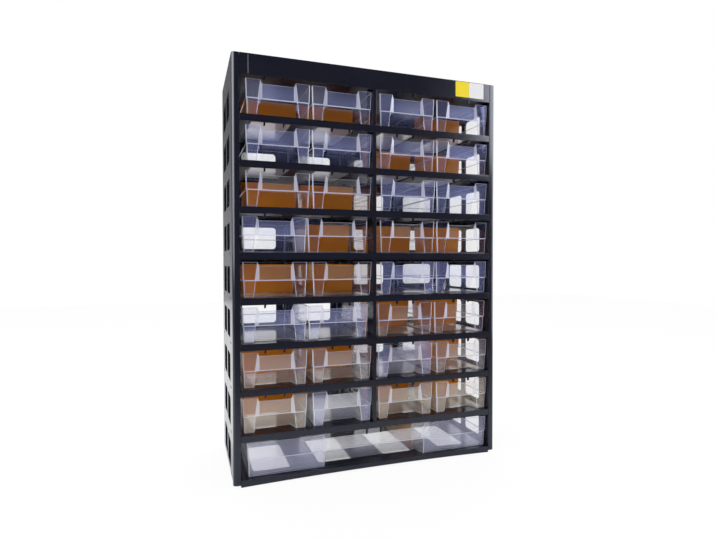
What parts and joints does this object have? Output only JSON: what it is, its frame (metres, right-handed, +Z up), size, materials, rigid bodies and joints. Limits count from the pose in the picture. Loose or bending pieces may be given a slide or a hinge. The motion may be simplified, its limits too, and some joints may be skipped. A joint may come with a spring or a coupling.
{
  "type": "small parts drawer cabinet",
  "caption": "Standing cabinet of dark plastic with open-framed panels and rows of clear pull-out drawers, some with an upright orange divider, over a full-width bottom drawer.",
  "frame": {"origin": "middle of the base's underside, on the floor", "axes": "+Z up, -Y out of the drawer fronts, +X to the right as seen from the front"},
  "size_m": [0.388, 0.16, 0.5565],
  "materials": {
    "black_plastic": "moulded, satin to glossy",
    "clear_plastic": "clear, slightly milky",
    "orange_plastic": "moulded, glossy"
  },
  "bodies": {
    "cabinet": {"side_panel_left": "black_plastic", "side_panel_right": "black_plastic", "top_panel": "black_plastic", "base_panel": "black_plastic", "back_panel": "black_plastic", "shelf_1": "black_plastic", "shelf_2": "black_plastic", "shelf_3": "black_plastic", "shelf_4": "black_plastic", "shelf_5": "black_plastic", "shelf_6": "black_plastic", "shelf_7": "black_plastic", "shelf_8": "black_plastic"},
    "drawer_r1_c1": {"drawer_r1_c1": "clear_plastic", "divider_r1_c1": "orange_plastic"},
    "drawer_r1_c2": {"drawer_r1_c2": "clear_plastic", "divider_r1_c2": "orange_plastic"},
    "drawer_r1_c3": {"drawer_r1_c3": "clear_plastic"},
    "drawer_r1_c4": {"drawer_r1_c4": "clear_plastic", "divider_r1_c4": "orange_plastic"},
    "drawer_r2_c1": {"drawer_r2_c1": "clear_plastic"},
    "drawer_r2_c2": {"drawer_r2_c2": "clear_plastic"},
    "drawer_r2_c3": {"drawer_r2_c3": "clear_plastic", "divider_r2_c3": "orange_plastic"},
    "drawer_r2_c4": {"drawer_r2_c4": "clear_plastic", "divider_r2_c4": "orange_plastic"},
    "drawer_r3_c1": {"drawer_r3_c1": "clear_plastic", "divider_r3_c1": "orange_plastic"},
    "drawer_r3_c2": {"drawer_r3_c2": "clear_plastic", "divider_r3_c2": "orange_plastic"},
    "drawer_r3_c3": {"drawer_r3_c3": "clear_plastic"},
    "drawer_r3_c4": {"drawer_r3_c4": "clear_plastic"},
    "drawer_r4_c1": {"drawer_r4_c1": "clear_plastic"},
    "drawer_r4_c2": {"drawer_r4_c2": "clear_plastic", "divider_r4_c2": "orange_plastic"},
    "drawer_r4_c3": {"drawer_r4_c3": "clear_plastic", "divider_r4_c3": "orange_plastic"},
    "drawer_r4_c4": {"drawer_r4_c4": "clear_plastic", "divider_r4_c4": "orange_plastic"},
    "drawer_r5_c1": {"drawer_r5_c1": "clear_plastic", "divider_r5_c1": "orange_plastic"},
    "drawer_r5_c2": {"drawer_r5_c2": "clear_plastic", "divider_r5_c2": "orange_plastic"},
    "drawer_r5_c3": {"drawer_r5_c3": "clear_plastic"},
    "drawer_r5_c4": {"drawer_r5_c4": "clear_plastic"},
    "drawer_r6_c1": {"drawer_r6_c1": "clear_plastic"},
    "drawer_r6_c2": {"drawer_r6_c2": "clear_plastic"},
    "drawer_r6_c3": {"drawer_r6_c3": "clear_plastic"},
    "drawer_r6_c4": {"drawer_r6_c4": "clear_plastic"},
    "drawer_r7_c1": {"drawer_r7_c1": "clear_plastic"},
    "drawer_r7_c2": {"drawer_r7_c2": "clear_plastic"},
    "drawer_r7_c3": {"drawer_r7_c3": "clear_plastic"},
    "drawer_r7_c4": {"drawer_r7_c4": "clear_plastic"},
    "drawer_r8_c1": {"drawer_r8_c1": "clear_plastic"},
    "drawer_r8_c2": {"drawer_r8_c2": "clear_plastic"},
    "drawer_r8_c3": {"drawer_r8_c3": "clear_plastic"},
    "drawer_r8_c4": {"drawer_r8_c4": "clear_plastic"},
    "bottom_drawer": {"bottom_drawer": "clear_plastic", "bottom_divider": "orange_plastic"}
  },
  "joints": [
    {"name": "drawer_r1_c1_slide", "type": "slide", "parent": "cabinet", "child": "drawer_r1_c1", "axis": [0, -1, 0], "range_m": [0, 0.148]},
    {"name": "drawer_r1_c2_slide", "type": "slide", "parent": "cabinet", "child": "drawer_r1_c2", "axis": [0, -1, 0], "range_m": [0, 0.148]},
    {"name": "drawer_r1_c3_slide", "type": "slide", "parent": "cabinet", "child": "drawer_r1_c3", "axis": [0, -1, 0], "range_m": [0, 0.148]},
    {"name": "drawer_r1_c4_slide", "type": "slide", "parent": "cabinet", "child": "drawer_r1_c4", "axis": [0, -1, 0], "range_m": [0, 0.148]},
    {"name": "drawer_r2_c1_slide", "type": "slide", "parent": "cabinet", "child": "drawer_r2_c1", "axis": [0, -1, 0], "range_m": [0, 0.148]},
    {"name": "drawer_r2_c2_slide", "type": "slide", "parent": "cabinet", "child": "drawer_r2_c2", "axis": [0, -1, 0], "range_m": [0, 0.148]},
    {"name": "drawer_r2_c3_slide", "type": "slide", "parent": "cabinet", "child": "drawer_r2_c3", "axis": [0, -1, 0], "range_m": [0, 0.148]},
    {"name": "drawer_r2_c4_slide", "type": "slide", "parent": "cabinet", "child": "drawer_r2_c4", "axis": [0, -1, 0], "range_m": [0, 0.148]},
    {"name": "drawer_r3_c1_slide", "type": "slide", "parent": "cabinet", "child": "drawer_r3_c1", "axis": [0, -1, 0], "range_m": [0, 0.148]},
    {"name": "drawer_r3_c2_slide", "type": "slide", "parent": "cabinet", "child": "drawer_r3_c2", "axis": [0, -1, 0], "range_m": [0, 0.148]},
    {"name": "drawer_r3_c3_slide", "type": "slide", "parent": "cabinet", "child": "drawer_r3_c3", "axis": [0, -1, 0], "range_m": [0, 0.148]},
    {"name": "drawer_r3_c4_slide", "type": "slide", "parent": "cabinet", "child": "drawer_r3_c4", "axis": [0, -1, 0], "range_m": [0, 0.148]},
    {"name": "drawer_r4_c1_slide", "type": "slide", "parent": "cabinet", "child": "drawer_r4_c1", "axis": [0, -1, 0], "range_m": [0, 0.148]},
    {"name": "drawer_r4_c2_slide", "type": "slide", "parent": "cabinet", "child": "drawer_r4_c2", "axis": [0, -1, 0], "range_m": [0, 0.148]},
    {"name": "drawer_r4_c3_slide", "type": "slide", "parent": "cabinet", "child": "drawer_r4_c3", "axis": [0, -1, 0], "range_m": [0, 0.148]},
    {"name": "drawer_r4_c4_slide", "type": "slide", "parent": "cabinet", "child": "drawer_r4_c4", "axis": [0, -1, 0], "range_m": [0, 0.148]},
    {"name": "drawer_r5_c1_slide", "type": "slide", "parent": "cabinet", "child": "drawer_r5_c1", "axis": [0, -1, 0], "range_m": [0, 0.148]},
    {"name": "drawer_r5_c2_slide", "type": "slide", "parent": "cabinet", "child": "drawer_r5_c2", "axis": [0, -1, 0], "range_m": [0, 0.148]},
    {"name": "drawer_r5_c3_slide", "type": "slide", "parent": "cabinet", "child": "drawer_r5_c3", "axis": [0, -1, 0], "range_m": [0, 0.148]},
    {"name": "drawer_r5_c4_slide", "type": "slide", "parent": "cabinet", "child": "drawer_r5_c4", "axis": [0, -1, 0], "range_m": [0, 0.148]},
    {"name": "drawer_r6_c1_slide", "type": "slide", "parent": "cabinet", "child": "drawer_r6_c1", "axis": [0, -1, 0], "range_m": [0, 0.148]},
    {"name": "drawer_r6_c2_slide", "type": "slide", "parent": "cabinet", "child": "drawer_r6_c2", "axis": [0, -1, 0], "range_m": [0, 0.148]},
    {"name": "drawer_r6_c3_slide", "type": "slide", "parent": "cabinet", "child": "drawer_r6_c3", "axis": [0, -1, 0], "range_m": [0, 0.148]},
    {"name": "drawer_r6_c4_slide", "type": "slide", "parent": "cabinet", "child": "drawer_r6_c4", "axis": [0, -1, 0], "range_m": [0, 0.148]},
    {"name": "drawer_r7_c1_slide", "type": "slide", "parent": "cabinet", "child": "drawer_r7_c1", "axis": [0, -1, 0], "range_m": [0, 0.148]},
    {"name": "drawer_r7_c2_slide", "type": "slide", "parent": "cabinet", "child": "drawer_r7_c2", "axis": [0, -1, 0], "range_m": [0, 0.148]},
    {"name": "drawer_r7_c3_slide", "type": "slide", "parent": "cabinet", "child": "drawer_r7_c3", "axis": [0, -1, 0], "range_m": [0, 0.148]},
    {"name": "drawer_r7_c4_slide", "type": "slide", "parent": "cabinet", "child": "drawer_r7_c4", "axis": [0, -1, 0], "range_m": [0, 0.148]},
    {"name": "drawer_r8_c1_slide", "type": "slide", "parent": "cabinet", "child": "drawer_r8_c1", "axis": [0, -1, 0], "range_m": [0, 0.148]},
    {"name": "drawer_r8_c2_slide", "type": "slide", "parent": "cabinet", "child": "drawer_r8_c2", "axis": [0, -1, 0], "range_m": [0, 0.148]},
    {"name": "drawer_r8_c3_slide", "type": "slide", "parent": "cabinet", "child": "drawer_r8_c3", "axis": [0, -1, 0], "range_m": [0, 0.148]},
    {"name": "drawer_r8_c4_slide", "type": "slide", "parent": "cabinet", "child": "drawer_r8_c4", "axis": [0, -1, 0], "range_m": [0, 0.148]},
    {"name": "bottom_drawer_slide", "type": "slide", "parent": "cabinet", "child": "bottom_drawer", "axis": [0, -1, 0], "range_m": [0, 0.148]}
  ]
}
